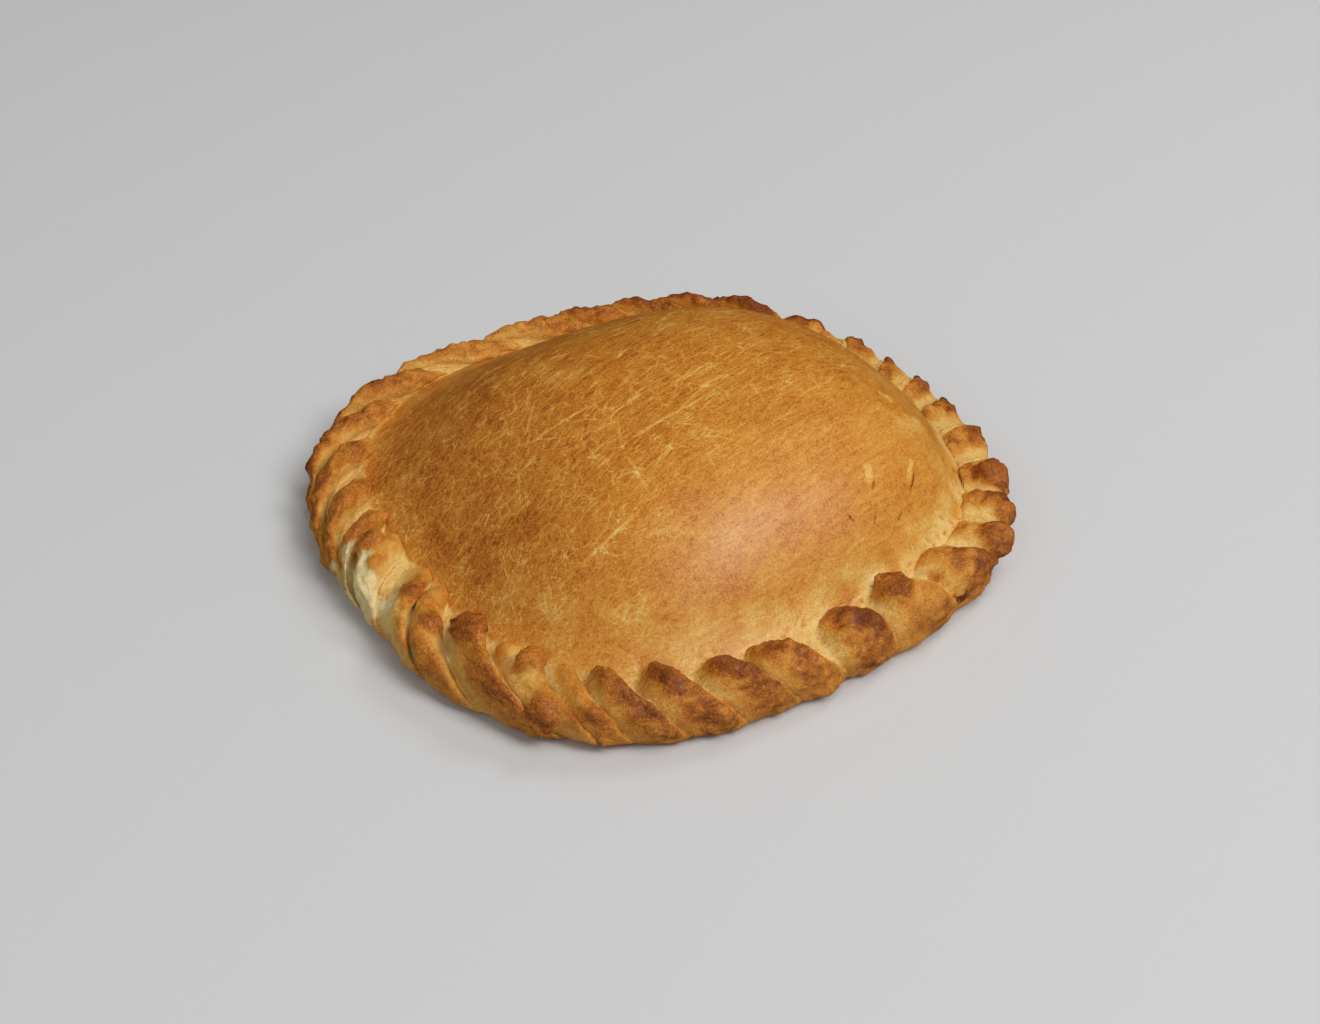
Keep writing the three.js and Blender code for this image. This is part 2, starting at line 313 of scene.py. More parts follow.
# Camera, as the pie was seen
CAMERA_PLACE = Vector((0.9, -385.0, 290.2)) * MM
CAMERA_AIM = Vector((0.9, -11.8, 9.5)) * MM
CAMERA_ROLL = 0.47
CAMERA_LENS = 57.27
CAMERA_SENSOR = 36


def from_display(red, green, blue):
    """A colour given in 8-bit display values, as linear light."""
    shares = (red / 255, green / 255, blue / 255)
    return tuple(s / 12.92 if s <= 0.04045 else ((s + 0.055) / 1.055) ** 2.4 for s in shares)


def colour_property(name, description, red, green, blue):
    return FloatVectorProperty(
        name=name, description=description, subtype="COLOR", size=3, min=0, max=1,
        default=from_display(red, green, blue),
    )


def length_property(name, description, millimetres):
    return FloatProperty(
        name=name, description=description, unit="LENGTH", min=0, default=millimetres * MM,
    )


class EmpanadaShape(bpy.types.PropertyGroup):
    """Main sizes of the pie."""

    edge_radius: length_property("Edge radius", "Mean distance from the middle to the outer edge", 77.3)
    dome_height: FloatProperty(
        name="Dome height", description="Height of the dome's top above the base",
        unit="LENGTH", min=0, default=cad_high.z,
    )
    groove_height: length_property("Groove height", "Height of the groove at the dome's foot", 9.8)
    groove_inset: length_property("Groove inset", "Mean way from the edge in to the groove", 11.8)


class EmpanadaFinish(bpy.types.PropertyGroup):
    """Colours and gloss of the baked crust."""

    cream: colour_property("Cream", "Dough that stayed pale", 230, 196, 120)
    yellow: colour_property("Yellow", "Crust that is barely baked", 216, 158, 68)
    golden: colour_property("Golden", "Crust that is baked through", 200, 125, 38)
    brown: colour_property("Brown", "Crust that is well browned", 162, 88, 24)
    dark: colour_property("Dark", "Crests that took the most heat", 116, 58, 20)
    crumb: colour_property("Crumb", "Torn, unglazed crumb", 238, 220, 172)
    roughness: FloatProperty(
        name="Roughness", description="Roughness of the glazed dome", subtype="FACTOR",
        min=0, max=1, default=0.42,
    )


class EmpanadaStudio(bpy.types.PropertyGroup):
    """Light and floor."""

    floor: colour_property("Floor", "Plain floor", 206, 206, 206)
    key_power: FloatProperty(
        name="Key power", description="Power that each soft light gives its own share of",
        unit="POWER", min=0, default=36,
    )
    fill: FloatProperty(
        name="Fill", description="Strength of the even light from all round", min=0, default=0.2,
    )


def random_numbers(seed):
    """Repeatable random numbers between -1 and 1."""
    state = seed
    while True:
        state = state * RANDOM_FACTOR % RANDOM_MODULUS
        yield state / RANDOM_MODULUS * 2 - 1


def smoothstep(values, low, high):
    share = np.clip((values - low) / (high - low), 0, 1)
    return share * share * (3 - 2 * share)


def through(points, share):
    """The value at a share of the way through evenly spaced points, on a smooth curve through them."""
    points = np.asarray(points, float)
    slopes = np.gradient(points)
    place = np.clip(share, 0, 1) * (len(points) - 1)
    index = np.minimum(place.astype(int), len(points) - 2)
    t = place - index
    rise = t * t * (3 - 2 * t)
    tangents = t * (1 - t) ** 2 * slopes[index] - t * t * (1 - t) * slopes[index + 1]
    return (1 - rise) * points[index] + rise * points[index + 1] + tangents


def swing(lobes, angle):
    return sum(lobe.depth * np.cos(lobe.count * (angle - math.radians(lobe.azimuth))) for lobe in lobes)


def facing(angle, azimuth):
    """1 on the side that faces an azimuth, falling to 0 on the far side."""
    return 0.5 + 0.5 * np.cos(angle - math.radians(azimuth))


class Outline:
    """The pie's plan and section, in millimetres. Angles are in radians."""

    def __init__(self, shape):
        self.radius = shape.edge_radius / MM
        self.top = shape.dome_height / MM
        self.groove_height = shape.groove_height / MM
        self.mean_inset = shape.groove_inset / MM

    def edge(self, angle):
        return self.radius + swing(EDGE_LOBES, angle)

    def inset(self, angle):
        return self.mean_inset + swing(INSET_LOBES, angle)

    def at_edge(self, angle, inset, height):
        radius = self.edge(angle) - inset
        return np.stack((radius * np.cos(angle), radius * np.sin(angle), height + 0 * radius), axis=-1)

    def on_dome(self, share, angle):
        foot = self.edge(angle) - self.inset(angle)
        flank = FLANK_POWER - FLANK_POWER_CHANGE * np.cos(angle - math.radians(FULL_FLANK))
        front = facing(angle, FULL_FRONT)
        rise = np.maximum(1 - share ** (DOME_POWER + DOME_POWER_GAIN * front * front), 0) ** flank
        reach = share * foot
        return np.stack((
            DOME_TOP.x * (1 - share) + reach * np.cos(angle),
            DOME_TOP.y * (1 - share) + reach * np.sin(angle),
            self.groove_height + (self.top - self.groove_height) * rise,
        ), axis=-1)


class Rope:
    """The folds round the edge. Its mesh columns run along the folds, and crowd at their creases."""

    def __init__(self, outline):
        self.outline = outline
        random = random_numbers(SEED)
        folds = [(tip, stretch) for stretch in STRETCHES for tip in stretch.tips]
        self.tips = np.array([tip for tip, _ in folds])
        self.sweeps = np.array([s.sweep * (1 + SWEEP_UNEVENNESS * next(random)) for _, s in folds])
        self.crests = np.array([s.crest + CREST_UNEVENNESS * next(random) for _, s in folds])
        self.brownings = np.array([s.browning for _, s in folds])
        gaps = self.tips - np.roll(self.tips, 1)
        gaps[0] += 360
        self.creases = self.tips - 0.5 * gaps
        widths = np.roll(self.creases, -1) - self.creases
        widths[-1] += 360
        peaks = (self.tips - self.creases) / widths

        columns = []
        for fold, width in enumerate(widths):
            count = round(width / COLUMN_PITCH)
            steps = np.arange(count) / count
            shares = steps - COLUMN_CROWDING * np.sin(2 * math.pi * steps) / (2 * math.pi)
            columns += [(fold, share) for share in shares]
        self.fold = np.array([fold for fold, _ in columns])
        self.share = np.array([share for _, share in columns])
        self.along = self.creases[self.fold] + self.share * widths[self.fold]
        bend = math.log(0.5) / np.log(peaks[self.fold])
        self.across = np.sin(math.pi * self.share ** bend)
        self.nose_gap = np.array([s.nose_gap for _, s in folds])[self.fold]
        self.skirt_gap = np.array([s.skirt_gap for _, s in folds])[self.fold]
        self.reach = np.interp(self.along, self.tips, [s.reach for _, s in folds], period=360)
        self.sweep = np.interp(self.along, self.tips, self.sweeps, period=360)
        nose_fillings = [s.nose_filling for _, s in folds]
        skirt_fillings = [s.skirt_filling for _, s in folds]
        self.nose_filling = np.interp(self.along, self.creases, nose_fillings, period=360)
        self.skirt_filling = np.interp(self.along, self.creases, skirt_fillings, period=360)

    def row(self, share):
        """Places and ridges of all columns at a share of the way from the groove to the ground."""
        outwards = smoothstep(share, *NOSE_TO_SKIRT)
        gap = self.nose_gap + (self.skirt_gap - self.nose_gap) * outwards
        ridge = np.maximum((self.across - gap) / (1 - gap), 0) ** FOLD_ROUNDNESS
        filling = self.nose_filling + (self.skirt_filling - self.nose_filling) * outwards
        share = np.array([share])
        crease_in, crease_up = (through(values, share) for values in zip(*CREASE_SECTION))
        ridge_in, ridge_up = (through(values, share) for values in zip(*RIDGE_SECTION))
        azimuth = self.along + self.sweep * through(SWEPT, share)
        angle = np.radians(azimuth + RIDGE_LEAN * ridge * np.sin(math.pi * share))
        groove = self.outline.groove_height
        growth = (self.crests[self.fold] - groove) / (RIDGE_CREST - groove)
        ridge_up = np.where(ridge_up > groove, groove + (ridge_up - groove) * growth, ridge_up)
        raised = filling + (1 - filling) * ridge
        inwards = self.reach * (crease_in + (ridge_in - crease_in) * raised)
        height = crease_up + (ridge_up - crease_up) * raised
        return self.outline.at_edge(angle, inwards * self.outline.inset(angle), height), ridge


class Dough:
    """The pie's mesh: a sheet of rope folds round a domed middle, in millimetres."""

    def __init__(self, outline):
        self.outline = outline
        self.rope = Rope(outline)
        self.mesh = bmesh.new()
        names = ("toast", "rope", "ridge", "inward")
        self.layers = {name: self.mesh.verts.layers.float.new(name) for name in names}
        self.column = self.mesh.verts.layers.int.new("column")

    def add_rope(self):
        """A ring with one vertex for each column is extruded row by row from the groove to the ground."""
        count = len(self.rope.along)
        ring = bmesh.ops.create_circle(self.mesh, segments=count, radius=1)["verts"]
        for index, vertex in enumerate(ring):
            vertex[self.column] = index
        edges = self.mesh.edges[:]
        browning = np.interp(self.rope.along, self.rope.tips, self.rope.brownings, period=360)
        for row in range(ROPE_ROWS + 1):
            if row > 0:
                grown = bmesh.ops.extrude_edge_only(self.mesh, edges=edges)["geom"]
                ring = [part for part in grown if isinstance(part, bmesh.types.BMVert)]
                edges = [part for part in grown if isinstance(part, bmesh.types.BMEdge)]
            share = row / ROPE_ROWS
            places, ridge = self.rope.row(share)
            for vertex in ring:
                index = vertex[self.column]
                vertex.co = places[index]
                vertex[self.layers["rope"]] = smoothstep(share, *DOME_TO_ROPE)
                vertex[self.layers["ridge"]] = ridge[index]
                vertex[self.layers["toast"]] = browning[index]
                vertex[self.layers["inward"]] = 1 - share

    def add_dome(self):
        """A square grid, rounded to a disc and raised to the dome, and joined to the rope's inner edge."""
        above_ground = 0.5 * self.outline.groove_height
        rims = [edge for edge in self.mesh.edges if edge.is_boundary]
        inner = [edge for edge in rims if edge.verts[0].co.z > above_ground]
        grid = bmesh.ops.create_grid(self.mesh, x_segments=DOME_CELLS, y_segments=DOME_CELLS, size=1)
        for vertex in grid["verts"]:
            x, y = vertex.co.xy
            round_x = x * math.sqrt(1 - y * y / 2)
            round_y = y * math.sqrt(1 - x * x / 2)
            share = math.hypot(round_x, round_y) * DOME_GRID_SHARE
            vertex.co = self.outline.on_dome(share, math.atan2(round_y, round_x))
            vertex[self.layers["inward"]] = 2 - share
        made = set(grid["verts"])
        outer = [edge for edge in self.mesh.edges if edge.is_boundary and edge.verts[0] in made]
        bmesh.ops.bridge_loops(self.mesh, edges=inner + outer)

    def close_base(self):
        rim = [edge for edge in self.mesh.edges if edge.is_boundary]
        bmesh.ops.holes_fill(self.mesh, edges=rim, sides=0)
        bmesh.ops.recalc_face_normals(self.mesh, faces=self.mesh.faces[:])
        if any(edge.is_boundary for edge in self.mesh.edges):
            raise RuntimeError("the crust is not closed")

    def finish(self):
        self.mesh.verts.layers.int.remove(self.column)
        data = bpy.data.meshes.new("empanada_crust")
        self.mesh.to_mesh(data)
        self.mesh.free()
        crust = bpy.data.objects.new("empanada_crust", data)
        bpy.context.scene.collection.objects.link(crust)
        return crust


class Skin:
    """The crust's vertices as arrays, in millimetres, with smoothing over neighbours."""

    def __init__(self, data):
        self.data = data
        self.count = len(data.vertices)
        pairs = np.empty(len(data.edges) * 2, np.int32)
        data.edges.foreach_get("vertices", pairs)
        self.pairs = pairs.reshape(-1, 2)
        self.neighbours = np.bincount(self.pairs.ravel(), minlength=self.count)
        places = np.empty(self.count * 3, np.float32)
        data.vertices.foreach_get("co", places)
        self.places = places.reshape(-1, 3).astype(float)

        self.toast = self.take("toast")
        self.rope = self.take("rope")
        self.ridge = self.take("ridge")
        self.inward = self.take("inward")
        self.angle = np.arctan2(self.places[:, 1], self.places[:, 0])
        self.front = facing(self.angle, PALE_FRONT)
        self.right = facing(self.angle, PALE_RIGHT) ** 2
        self.on_base = self.places[:, 2] < ON_GROUND
        self.off_base = ~self.on_base
        self.on_rope = self.off_base & (self.rope > ROPE_TRACE)

    def take(self, name):
        """Values of a layer, which then leaves the mesh."""
        layer = self.data.attributes[name]
        found = np.empty(self.count, np.float32)
        layer.data.foreach_get("value", found)
        self.data.attributes.remove(layer)
        return found.astype(float)

    def keep(self, name, values):
        layer = self.data.attributes.new(name, "FLOAT", "POINT")
        layer.data.foreach_set("value", np.clip(values, 0, 1).astype(np.float32))

    def neighbour_mean(self, values):
        one, other = self.pairs[:, 0], self.pairs[:, 1]
        total = np.bincount(one, values[other], self.count) + np.bincount(other, values[one], self.count)
        return total / np.maximum(self.neighbours, 1)

    def spread(self, values, rounds, weight):
        for _ in range(rounds):
            values = values + weight * (self.neighbour_mean(values) - values)
        return values

    def spread_places(self, rounds, weight):
        return np.stack([self.spread(self.places[:, axis], rounds, weight) for axis in range(3)], axis=1)

    def settle(self):
        """Keeps the base flat on the ground and writes the places back."""
        self.places[:, 2] = np.where(self.on_base, 0, np.maximum(self.places[:, 2], 0))
        self.data.vertices.foreach_set("co", self.places.astype(np.float32).ravel())
        self.data.update()

    def normals(self):
        found = np.empty(self.count * 3, np.float32)
        self.data.vertex_normals.foreach_get("vector", found)
        return found.reshape(-1, 3).astype(float)

    def noise(self, bumps, where):
        """Smooth noise at the vertices of a mask, and 0 elsewhere."""
        shift = Vector([bumps.offset * share for share in OFFSET_SHARES])
        found = np.zeros(self.count)
        for index in np.flatnonzero(where):
            place = Vector(self.places[index]) / bumps.size + shift
            if bumps.octaves == 1:
                found[index] = noise.noise(place)
            else:
                found[index] = noise.fractal(place, FRACTAL_FALL, FRACTAL_STEP, bumps.octaves)
        return bumps.strength * found

    def way_from(self, start, end):
        """Distance of each vertex from a straight line between two places."""
        start = np.array(start)
        run = np.array(end) - start
        share = np.clip((self.places - start) @ run / (run @ run), 0, 1)
        return np.linalg.norm(self.places - start - share[:, None] * run, axis=1)


def soften_groove(skin):
    """Fills the groove at the dome's foot a little, except under the noses of the folds."""
    groove = smoothstep(np.abs(skin.inward - 1), *GROOVE_BAND)
    fillet = SMOOTHING * groove * (1 - NOSE_KEPT * skin.ridge * skin.rope)
    skin.places = skin.spread_places(FILLET_ROUNDS, fillet)
    skin.settle()


def raise_knobs(skin, outline):
    normals = skin.normals()
    for knob in KNOBS:
        middle = outline.at_edge(math.radians(knob.azimuth), knob.inset, knob.height)
        near = smoothstep(np.linalg.norm(skin.places - middle, axis=1) / knob.radius, *KNOB_FADE)
        skin.places += normals * (knob.rise * near)[:, None]
        skin.toast = skin.toast + (knob.browning - skin.toast) * near
        skin.ridge = np.maximum(skin.ridge, near)
    skin.settle()


def tear(skin):
    """How torn the crust is, and the relief of the crumb there."""
    from_middle = np.abs((np.degrees(skin.angle) - TEAR_MIDDLE + 180) % 360 - 180)
    near = skin.on_rope & (from_middle < 2 * TEAR_SPREAD) & (skin.inward < TEAR_LIMIT)
    ragged = skin.noise(TEAR_EDGE, near)
    sideways = smoothstep(1.1 - from_middle / TEAR_SPREAD + 0.35 * ragged, 0, TEAR_FADE)
    upwards = smoothstep(TEAR_TOP - skin.inward + 0.12 * ragged, 0, TEAR_TOP_FADE)
    torn = np.where(near, sideways * upwards, 0)
    return torn, skin.noise(TEAR_FLAKES, near) * torn - TEAR_DEPTH * torn


def mark(skin):
    """How much browner the crust is at its marks, how much the pits along the groove are darkened as painted
    shade, and their relief.
    """
    speck = skin.noise(MARK_EDGE, skin.off_base)
    darker = np.zeros(skin.count)
    dents = np.zeros(skin.count)
    for line in MARKS:
        near = smoothstep(skin.way_from(line.start, line.end) / line.width + speck, *MARK_FADE)
        darker += line.change * near
        dents -= line.depth * near
    seam = smoothstep(np.abs(skin.inward - 1), *SEAM_BAND) * skin.right
    holes = smoothstep(skin.noise(GROOVE_HOLES, seam > 0), *HOLE_BAND) * seam
    # The groove pits are dented, and darkened as painted shade
    return darker + 0.4 * holes, dents - 0.6 * holes


def fold_done_and_painted_light(skin, crest, painted_pit_shade, patchy, left_painted_light):
    """How done the folds are: most on their crests, least in the hollows between them, with painted light:
    paler on the left, and painted shade in the blister pits and in the hollows away from the front and
    right.
    """
    ragged_crest = crest + skin.noise(CREST_EDGE, skin.on_rope)
    hump = smoothstep(ragged_crest, *CREST_BAND) * smoothstep(skin.ridge, *RIDGE_BAND)
    hollow = (1 - hump) * smoothstep(skin.inward, *INNER_HOLLOW)
    on_top = smoothstep(skin.inward, *ROPE_TOP)
    face = smoothstep(skin.inward, *OUTER_FACE) * (1 - 0.35 * smoothstep(skin.inward, *INNER_FACE))
    # Paler on the left as painted light, and darker in the blister pits as painted shade
    done_and_painted_light = FOLD_DONE - 0.15 * left_painted_light + 0.16 * (1 - on_top) + 0.1 * patchy + 0.08 * painted_pit_shade
    done_and_painted_light = done_and_painted_light + skin.toast * hump * (0.3 + 0.42 * face)
    # Hollows are paler towards the front and right; elsewhere the constant darkens them as painted shade in
    # the creases
    return done_and_painted_light - hollow * (0.13 * skin.front + 0.1 * skin.right - 0.03)


def dome_done_and_painted_light(skin, patchy, left_painted_light):
    """How done the dome is: less at its foot, with painted shade that darkens its left and a painted
    highlight that pales its front right.
    """
    foot = smoothstep(skin.inward + 0.09 * patchy, *DOME_FOOT)
    painted_highlight = smoothstep(skin.places[:, 0] - skin.places[:, 1], *PAINTED_HIGHLIGHT_SIDE)
    # Darker on the left as painted shade, and paler at the front right as a painted highlight
    done_and_painted_light = DOME_DONE + 0.07 * left_painted_light - 0.07 * painted_highlight + 0.05 * patchy
    return done_and_painted_light - foot * (0.05 + 0.1 * skin.front + 0.27 * skin.right)


def bake(crust, outline):
    """Gives the skin its relief and notes on each vertex how it baked, together with some painted light and
    shade.
    """
    skin = Skin(crust.data)
    soften_groove(skin)
    raise_knobs(skin, outline)
    normals = skin.normals()
    smoothed = skin.spread_places(CREST_ROUNDS, SMOOTHING)
    crest = np.einsum("ij,ij->i", skin.places - smoothed, normals)
    toasted = skin.toast * skin.ridge + skin.noise(BROWNED_EDGE, skin.on_rope)
    browned = smoothstep(toasted, *BROWNED_BAND) * skin.rope
    pillows = np.abs(skin.noise(PILLOWS, skin.on_rope))

    torn, flakes = tear(skin)
    darker, dents = mark(skin)
    lumps = (skin.noise(LARGE_LUMPS, skin.on_rope) + skin.noise(SMALL_LUMPS, skin.on_rope)) * skin.rope
    waves = skin.noise(DOME_WAVES, skin.off_base) * (1 - skin.rope) + skin.noise(RIPPLES, skin.off_base)
    blisters = (1.5 * pillows - 0.4) * browned + skin.noise(ROPE_GRAIN, skin.on_rope) * skin.rope
    creased = 0.48 * np.clip(crest, -CREST_LIMIT, CREST_LIMIT) * skin.rope
    relief = lumps + waves + blisters + creased + dents + flakes
    relief = relief * smoothstep(skin.places[:, 2], *RELIEF_START)
    skin.places += normals * relief[:, None]
    skin.settle()

    patchy = skin.noise(PATCHES, skin.off_base)
    # Painted light: shade on the dome's left, light on the folds' left
    left_painted_light = smoothstep(skin.places[:, 0], *PAINTED_LIGHT_LEFT_SIDE)
    # Painted shade: the pits between blisters on browned folds are darkened
    painted_pit_shade = smoothstep(pillows, *PIT_BAND) * browned
    on_dome = dome_done_and_painted_light(skin, patchy, left_painted_light)
    on_folds = fold_done_and_painted_light(skin, crest, painted_pit_shade, patchy, left_painted_light)
    skin.keep("done_and_painted_light", on_dome + (on_folds - on_dome) * skin.rope + darker)
    skin.keep("rope", skin.rope)
    skin.keep("torn", torn)
    crust.data.transform(Matrix.Scale(MM, 4))


class Field:
    """One output of a material's nodes. Arithmetic on it adds Math nodes."""

    def __init__(self, recipe, socket):
        self.recipe = recipe
        self.socket = socket

    def _math(self, operation, first, second):
        return self.recipe.node("ShaderNodeMath", {"operation": operation}, {0: first, 1: second})

    def __add__(self, other):
        return self._math("ADD", self, other)

    def __radd__(self, other):
        return self._math("ADD", other, self)

    def __sub__(self, other):
        return self._math("SUBTRACT", self, other)

    def __rsub__(self, other):
        return self._math("SUBTRACT", other, self)

    def __mul__(self, other):
        return self._math("MULTIPLY", self, other)

    def __rmul__(self, other):
        return self._math("MULTIPLY", other, self)

    def __abs__(self):
        return self._math("ABSOLUTE", self, 0)


class Recipe:
    """The nodes of one material."""

    def __init__(self, name):
        self.material = bpy.data.materials.new(name)
        self.material.use_nodes = True
        self.tree = self.material.node_tree
        self.tree.nodes.clear()

    def node(self, kind, settings=None, sockets=None, output=0):
        made = self.tree.nodes.new(kind)
        for name, value in (settings or {}).items():
            setattr(made, name, value)
        for name, value in (sockets or {}).items():
            if isinstance(value, Field):
                self.tree.links.new(value.socket, made.inputs[name])
            else:
                made.inputs[name].default_value = value
        return Field(self, made.outputs[output]) if len(made.outputs) else made

    def attribute(self, name):
        return self.node("ShaderNodeAttribute", {"attribute_name": name}, output="Fac")

    def between(self, value, low, high):
        """0 below low, 1 above high, smooth in between."""
        return self.node(
            "ShaderNodeMapRange", {"interpolation_type": "SMOOTHSTEP"},
            {"Value": value, "From Min": low, "From Max": high},
        )

    def blend(self, share, first, second):
        return self.node(
            "ShaderNodeMix", {"data_type": "RGBA"},
            {MIX_SHARE: share, MIX_FIRST: as_colour(first), MIX_SECOND: as_colour(second)},
            output=MIX_RESULT,
        )

    def scale_of(self, level, steps):
        """A colour from a scale of levels and colours."""
        colour = as_colour(steps[0][1])
        for (low, _), (high, following) in zip(steps, steps[1:]):
            share = self.node("ShaderNodeMapRange", {}, {"Value": level, "From Min": low, "From Max": high})
            colour = self.blend(share, colour, following)
        return colour

    def noise(self, places, pattern, output=0):
        return self.node("ShaderNodeTexNoise", {}, {
            "Vector": places, "Scale": 1 / pattern.size, "Detail": pattern.detail,
            "Roughness": pattern.roughness, "Distortion": pattern.distortion,
        }, output)

    def ripple(self, places, pattern):
        """Noise that lies about 0."""
        return self.noise(places, pattern) - 0.5

    def cells(self, places, size, feature):
        """Distance to the middles or to the edges of irregular cells."""
        return self.node("ShaderNodeTexVoronoi", {"feature": feature}, {
            "Vector": places, "Scale": 1 / size,
        }, "Distance")

    def cracks(self, places, net):
        """1 along the edges of irregular cells, and 0 inside them."""
        return 1 - self.between(self.cells(places, net.size, "DISTANCE_TO_EDGE"), 0, net.width)

    def along(self, places, way):
        """How far places lie along one way."""
        return self.node("ShaderNodeVectorMath", {"operation": "DOT_PRODUCT"}, {0: places, 1: way}, "Value")

    def stroke(self, places, line, wander):
        """1 on a thin line over the skin, fading at its ends, and 0 away from it."""
        start = Vector(line.start)
        run = Vector(line.end) - start
        across = run.cross(start - UNDER_SKIN).normalized()
        off = abs(self.along(places, across) - across.dot(start) + wander)
        share = (self.along(places, run) - run.dot(start)) * (1 / run.length_squared)
        ends = 1 - self.between(abs(share - 0.5), *STROKE_ENDS)
        return (1 - self.between(off, STROKE_CORE * line.width, line.width)) * ends

    def drawn_out(self, places, draw):
        """Places turned about the upright and squeezed along one way, which draws a pattern out."""
        turned = self.node("ShaderNodeVectorRotate", {"rotation_type": "Z_AXIS"}, {
            "Vector": places, "Angle": -math.radians(draw.azimuth),
        })
        return self.node("ShaderNodeVectorMath", {"operation": "MULTIPLY"}, {
            0: turned, 1: (1 / draw.stretch, 1, 1),
        })


def as_colour(value):
    return value if isinstance(value, Field) or len(value) == 4 else (*value, 1)


def crust_material(finish):
    recipe = Recipe("baked_crust")
    coordinates = recipe.node("ShaderNodeTexCoord", output="Object")
    places = recipe.node("ShaderNodeVectorMath", {"operation": "SCALE"}, {0: coordinates, "Scale": 1 / MM})
    # How done the crust is, with painted light and shade added into it
    done_and_painted_light = recipe.attribute("done_and_painted_light")
    rope = recipe.attribute("rope")
    torn = recipe.attribute("torn")
    dome = 1 - rope

    # Uneven colour
    blotch = recipe.ripple(places, BLOTCHES)
    mottle = recipe.ripple(places, MOTTLE)
    grain = recipe.ripple(places, GRAIN)
    brushed = recipe.ripple(recipe.drawn_out(places, BRUSHED), BRUSHING)
    uneven = 0.25 * blotch + (0.42 + 0.18 * rope) * mottle + 0.95 * grain + 0.6 * brushed * dome

    # Pale lines where the dry glaze cracked, dark ones on browned folds, and specks
    bent = recipe.node("ShaderNodeVectorMath", {"operation": "MULTIPLY_ADD"}, {
        0: recipe.noise(places, WARP, "Color"), 1: WARP_REACH, 2: recipe.drawn_out(places, CRACKED),
    })
    dry = dome * (1 - recipe.between(recipe.along(places, DRY_WAY) + DRY_UNEVENNESS * blotch, *DRY_END))
    crackled = recipe.between(recipe.noise(places, CRACKLED_AREAS), *CRACKLED_BAND)
    streaked = recipe.between(recipe.noise(places, STREAKED_AREAS), *STREAKED_BAND)
    streaks = recipe.ripple(recipe.drawn_out(places, STREAKED), STREAKS)
    streak = 1 - recipe.between(abs(streaks), 0, STREAK_WIDTH)
    coarse = recipe.cracks(bent, COARSE_NET)
    lines = 0.5 * recipe.cracks(bent, FINE_NET) * crackled + 0.45 * coarse * streaked
    lines = (lines + 0.8 * streak * streaked) * dry
    parched = recipe.cracks(bent, PARCHED_NET) * recipe.between(done_and_painted_light, *PARCHED_BAND) * rope
    specks = 1 - recipe.between(recipe.cells(places, SPECK_SPACING, "F1"), *SPECK_FADE)

    level = done_and_painted_light + uneven - 0.41 * lines + 0.25 * specks + 0.12 * parched * crackled
    cut = 0
    for line in STROKES:
        stroke = recipe.stroke(places, line, STROKE_WANDER * mottle)
        level = level + line.change * stroke
        cut = cut + line.depth * stroke
    colour = recipe.scale_of(level, (
        (0, finish.cream),
        (0.28, finish.yellow),
        (0.55, finish.golden),
        (0.76, finish.brown),
        (1, finish.dark),
    ))
    crumb = recipe.blend(recipe.between(mottle + grain, *CREAMY_BAND), finish.crumb, finish.cream)
    colour = recipe.blend(recipe.between(torn + 0.5 * mottle, *TORN_BAND), colour, crumb)

    # Gloss and fine relief
    browned = recipe.between(done_and_painted_light, *GLOSSY_BAND) * rope
    glazed = dome + 0.3 * browned
    roughness = finish.roughness + 0.1 * rope - 0.08 * browned + 0.2 * mottle + 0.3 * torn
    bubbles = recipe.cells(places, BUBBLE_SIZE, "F1") * browned
    height = (0.6 + 1.8 * rope) * mottle + (0.3 + 0.9 * rope) * grain + 0.3 * brushed * dome
    height = height - 0.8 * bubbles + 2 * torn * mottle - cut
    normal = recipe.node("ShaderNodeBump", {}, {
        "Strength": BUMP_STRENGTH, "Distance": BUMP_DEPTH * MM, "Height": height,
    })
    surface = recipe.node("ShaderNodeBsdfPrincipled", {}, {
        "Base Color": colour, "Roughness": roughness, "Normal": normal,
        "Specular IOR Level": 0.4, "Coat Weight": 0.3 * glazed, "Coat Roughness": 0.34,
    })
    recipe.node("ShaderNodeOutputMaterial", {}, {"Surface": surface})
    return recipe.material


def floor_material(studio):
    recipe = Recipe("plain_floor")
    surface = recipe.node("ShaderNodeBsdfPrincipled", {}, {
        "Base Color": as_colour(studio.floor), "Roughness": FLOOR_ROUGHNESS,
    })
    recipe.node("ShaderNodeOutputMaterial", {}, {"Surface": surface})
    return recipe.material


def add_floor(scene, studio):
    """A plain floor, which the glaze doesn't mirror."""
    plane = bmesh.new()
    bmesh.ops.create_grid(plane, x_segments=1, y_segments=1, size=FLOOR_HALF_WIDTH)
    data = bpy.data.meshes.new("floor")
    plane.to_mesh(data)
    plane.free()
    data.materials.append(floor_material(studio))
    floor = bpy.data.objects.new("floor", data)
    scene.collection.objects.link(floor)
    floor.visible_glossy = False


def add_lamps(scene, studio):
    for lamp in LAMPS:
        light = bpy.data.objects.new(lamp.name, bpy.data.lights.new(lamp.name, "AREA"))
        light.data.shape = "DISK"
        light.data.size = lamp.size
        light.data.energy = studio.key_power * lamp.share
        light.visible_glossy = lamp.mirrored
        towards = Vector(lamp.towards).normalized()
        light.location = towards * lamp.distance
        light.rotation_euler = towards.to_track_quat("Z", "Y").to_euler()
        scene.collection.objects.link(light)


def add_sky(scene, studio):
    """Even light from all round, which the glaze doesn't mirror."""
    world = bpy.data.worlds.new("studio")
    world.use_nodes = True
    sky = world.node_tree.nodes["Background"]
    sky.inputs["Color"].default_value = as_colour(WHITE)
    sky.inputs["Strength"].default_value = studio.fill
    scene.world = world
    world.cycles_visibility.glossy = False


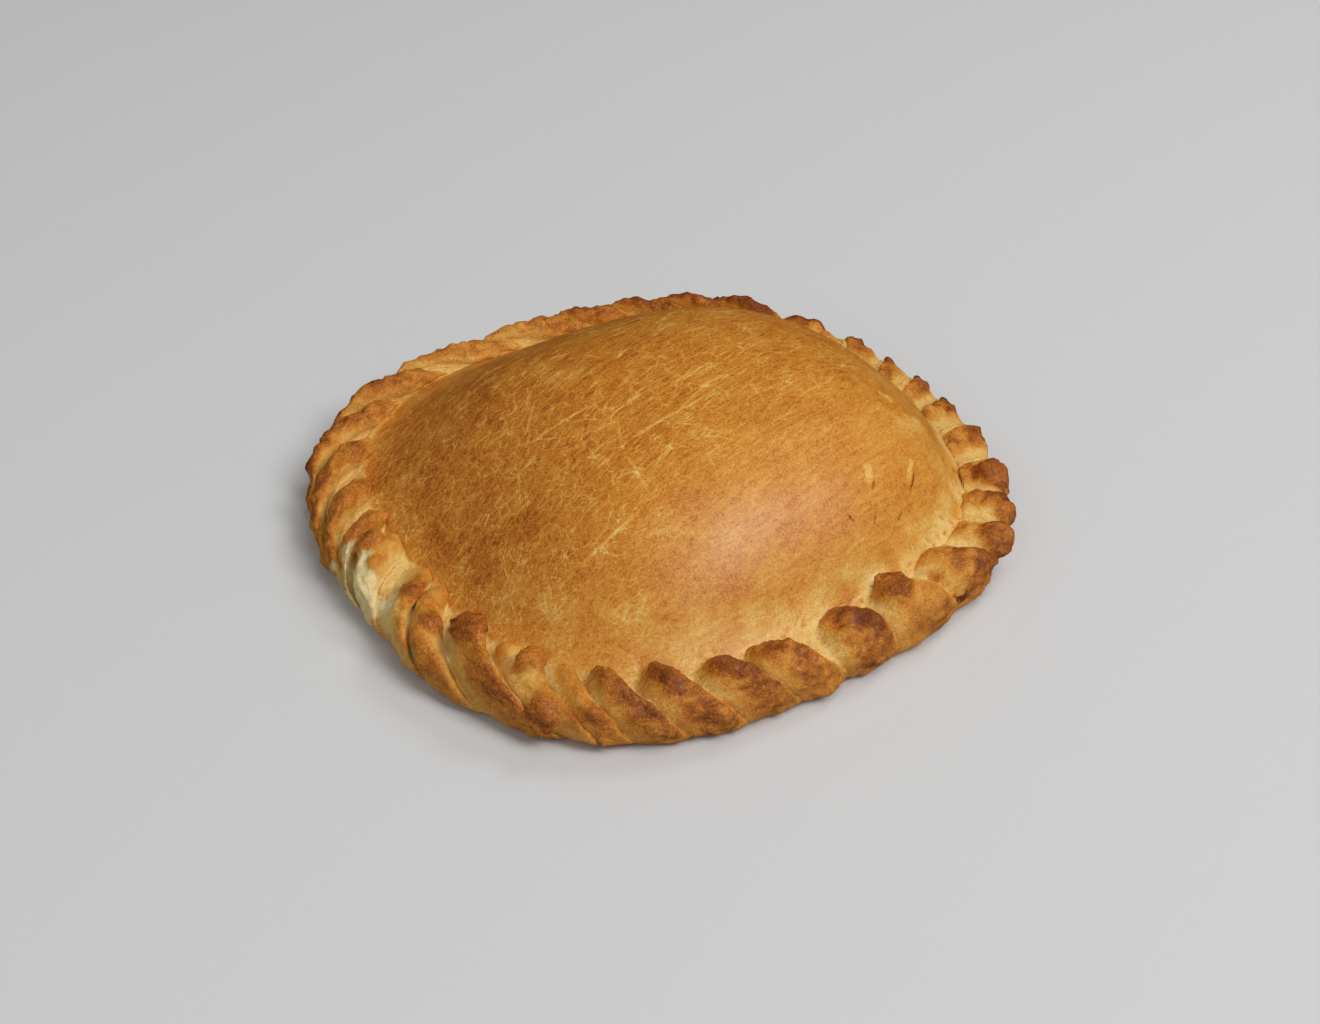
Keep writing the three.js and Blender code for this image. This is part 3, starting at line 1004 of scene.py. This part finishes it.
def add_camera(scene):
    camera = bpy.data.objects.new("camera", bpy.data.cameras.new("camera"))
    camera.location = CAMERA_PLACE
    camera.rotation_euler = (CAMERA_AIM - CAMERA_PLACE).to_track_quat("-Z", "Y").to_euler()
    camera.rotation_euler.rotate_axis("Z", math.radians(CAMERA_ROLL))
    camera.data.lens = CAMERA_LENS
    camera.data.sensor_width = CAMERA_SENSOR
    scene.collection.objects.link(camera)
    scene.camera = camera


class EMPANADA_OT_crust(bpy.types.Operator):
    """Models the whole pie as one skin of baked dough, in place of its solid"""

    bl_idname = "empanada.crust"
    bl_label = "Crust"
    bl_options = {"REGISTER", "UNDO"}

    def execute(self, context):
        outline = Outline(context.scene.empanada_shape)
        dough = Dough(outline)
        dough.add_rope()
        dough.add_dome()
        dough.close_base()
        crust = dough.finish()
        bake(crust, outline)
        crust.data.shade_smooth()
        crust.data.materials.append(crust_material(context.scene.empanada_finish))
        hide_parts("empanada")
        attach(crust, "root")
        return {"FINISHED"}


class EMPANADA_OT_stage(bpy.types.Operator):
    """Sets the floor, the light and the camera"""

    bl_idname = "empanada.stage"
    bl_label = "Stage"
    bl_options = {"REGISTER", "UNDO"}

    def execute(self, context):
        scene = context.scene
        studio = scene.empanada_studio
        scene.view_settings.view_transform = "Standard"
        add_floor(scene, studio)
        add_lamps(scene, studio)
        add_sky(scene, studio)
        add_camera(scene)
        return {"FINISHED"}


class EMPANADA_PT_panel(bpy.types.Panel):
    """Lists the pie's values and the steps that make it"""

    bl_idname = "EMPANADA_PT_panel"
    bl_label = "Empanada"
    bl_space_type = "VIEW_3D"
    bl_region_type = "UI"
    bl_category = "Empanada"

    def draw(self, context):
        scene = context.scene
        for group in (scene.empanada_shape, scene.empanada_finish, scene.empanada_studio):
            box = self.layout.box()
            for name in group.__annotations__:
                box.prop(group, name)
        for operator in (EMPANADA_OT_crust, EMPANADA_OT_stage):
            self.layout.operator(operator.bl_idname)


CLASSES = (
    EmpanadaShape, EmpanadaFinish, EmpanadaStudio,
    EMPANADA_OT_crust, EMPANADA_OT_stage, EMPANADA_PT_panel,
)


def register():
    for made in CLASSES:
        bpy.utils.register_class(made)
    bpy.types.Scene.empanada_shape = PointerProperty(type=EmpanadaShape)
    bpy.types.Scene.empanada_finish = PointerProperty(type=EmpanadaFinish)
    bpy.types.Scene.empanada_studio = PointerProperty(type=EmpanadaStudio)


def unregister():
    del bpy.types.Scene.empanada_studio
    del bpy.types.Scene.empanada_finish
    del bpy.types.Scene.empanada_shape
    for made in reversed(CLASSES):
        bpy.utils.unregister_class(made)


def main():
    register()
    bpy.ops.empanada.crust()
    bpy.ops.empanada.stage()


if __name__ == "__main__":
    main()
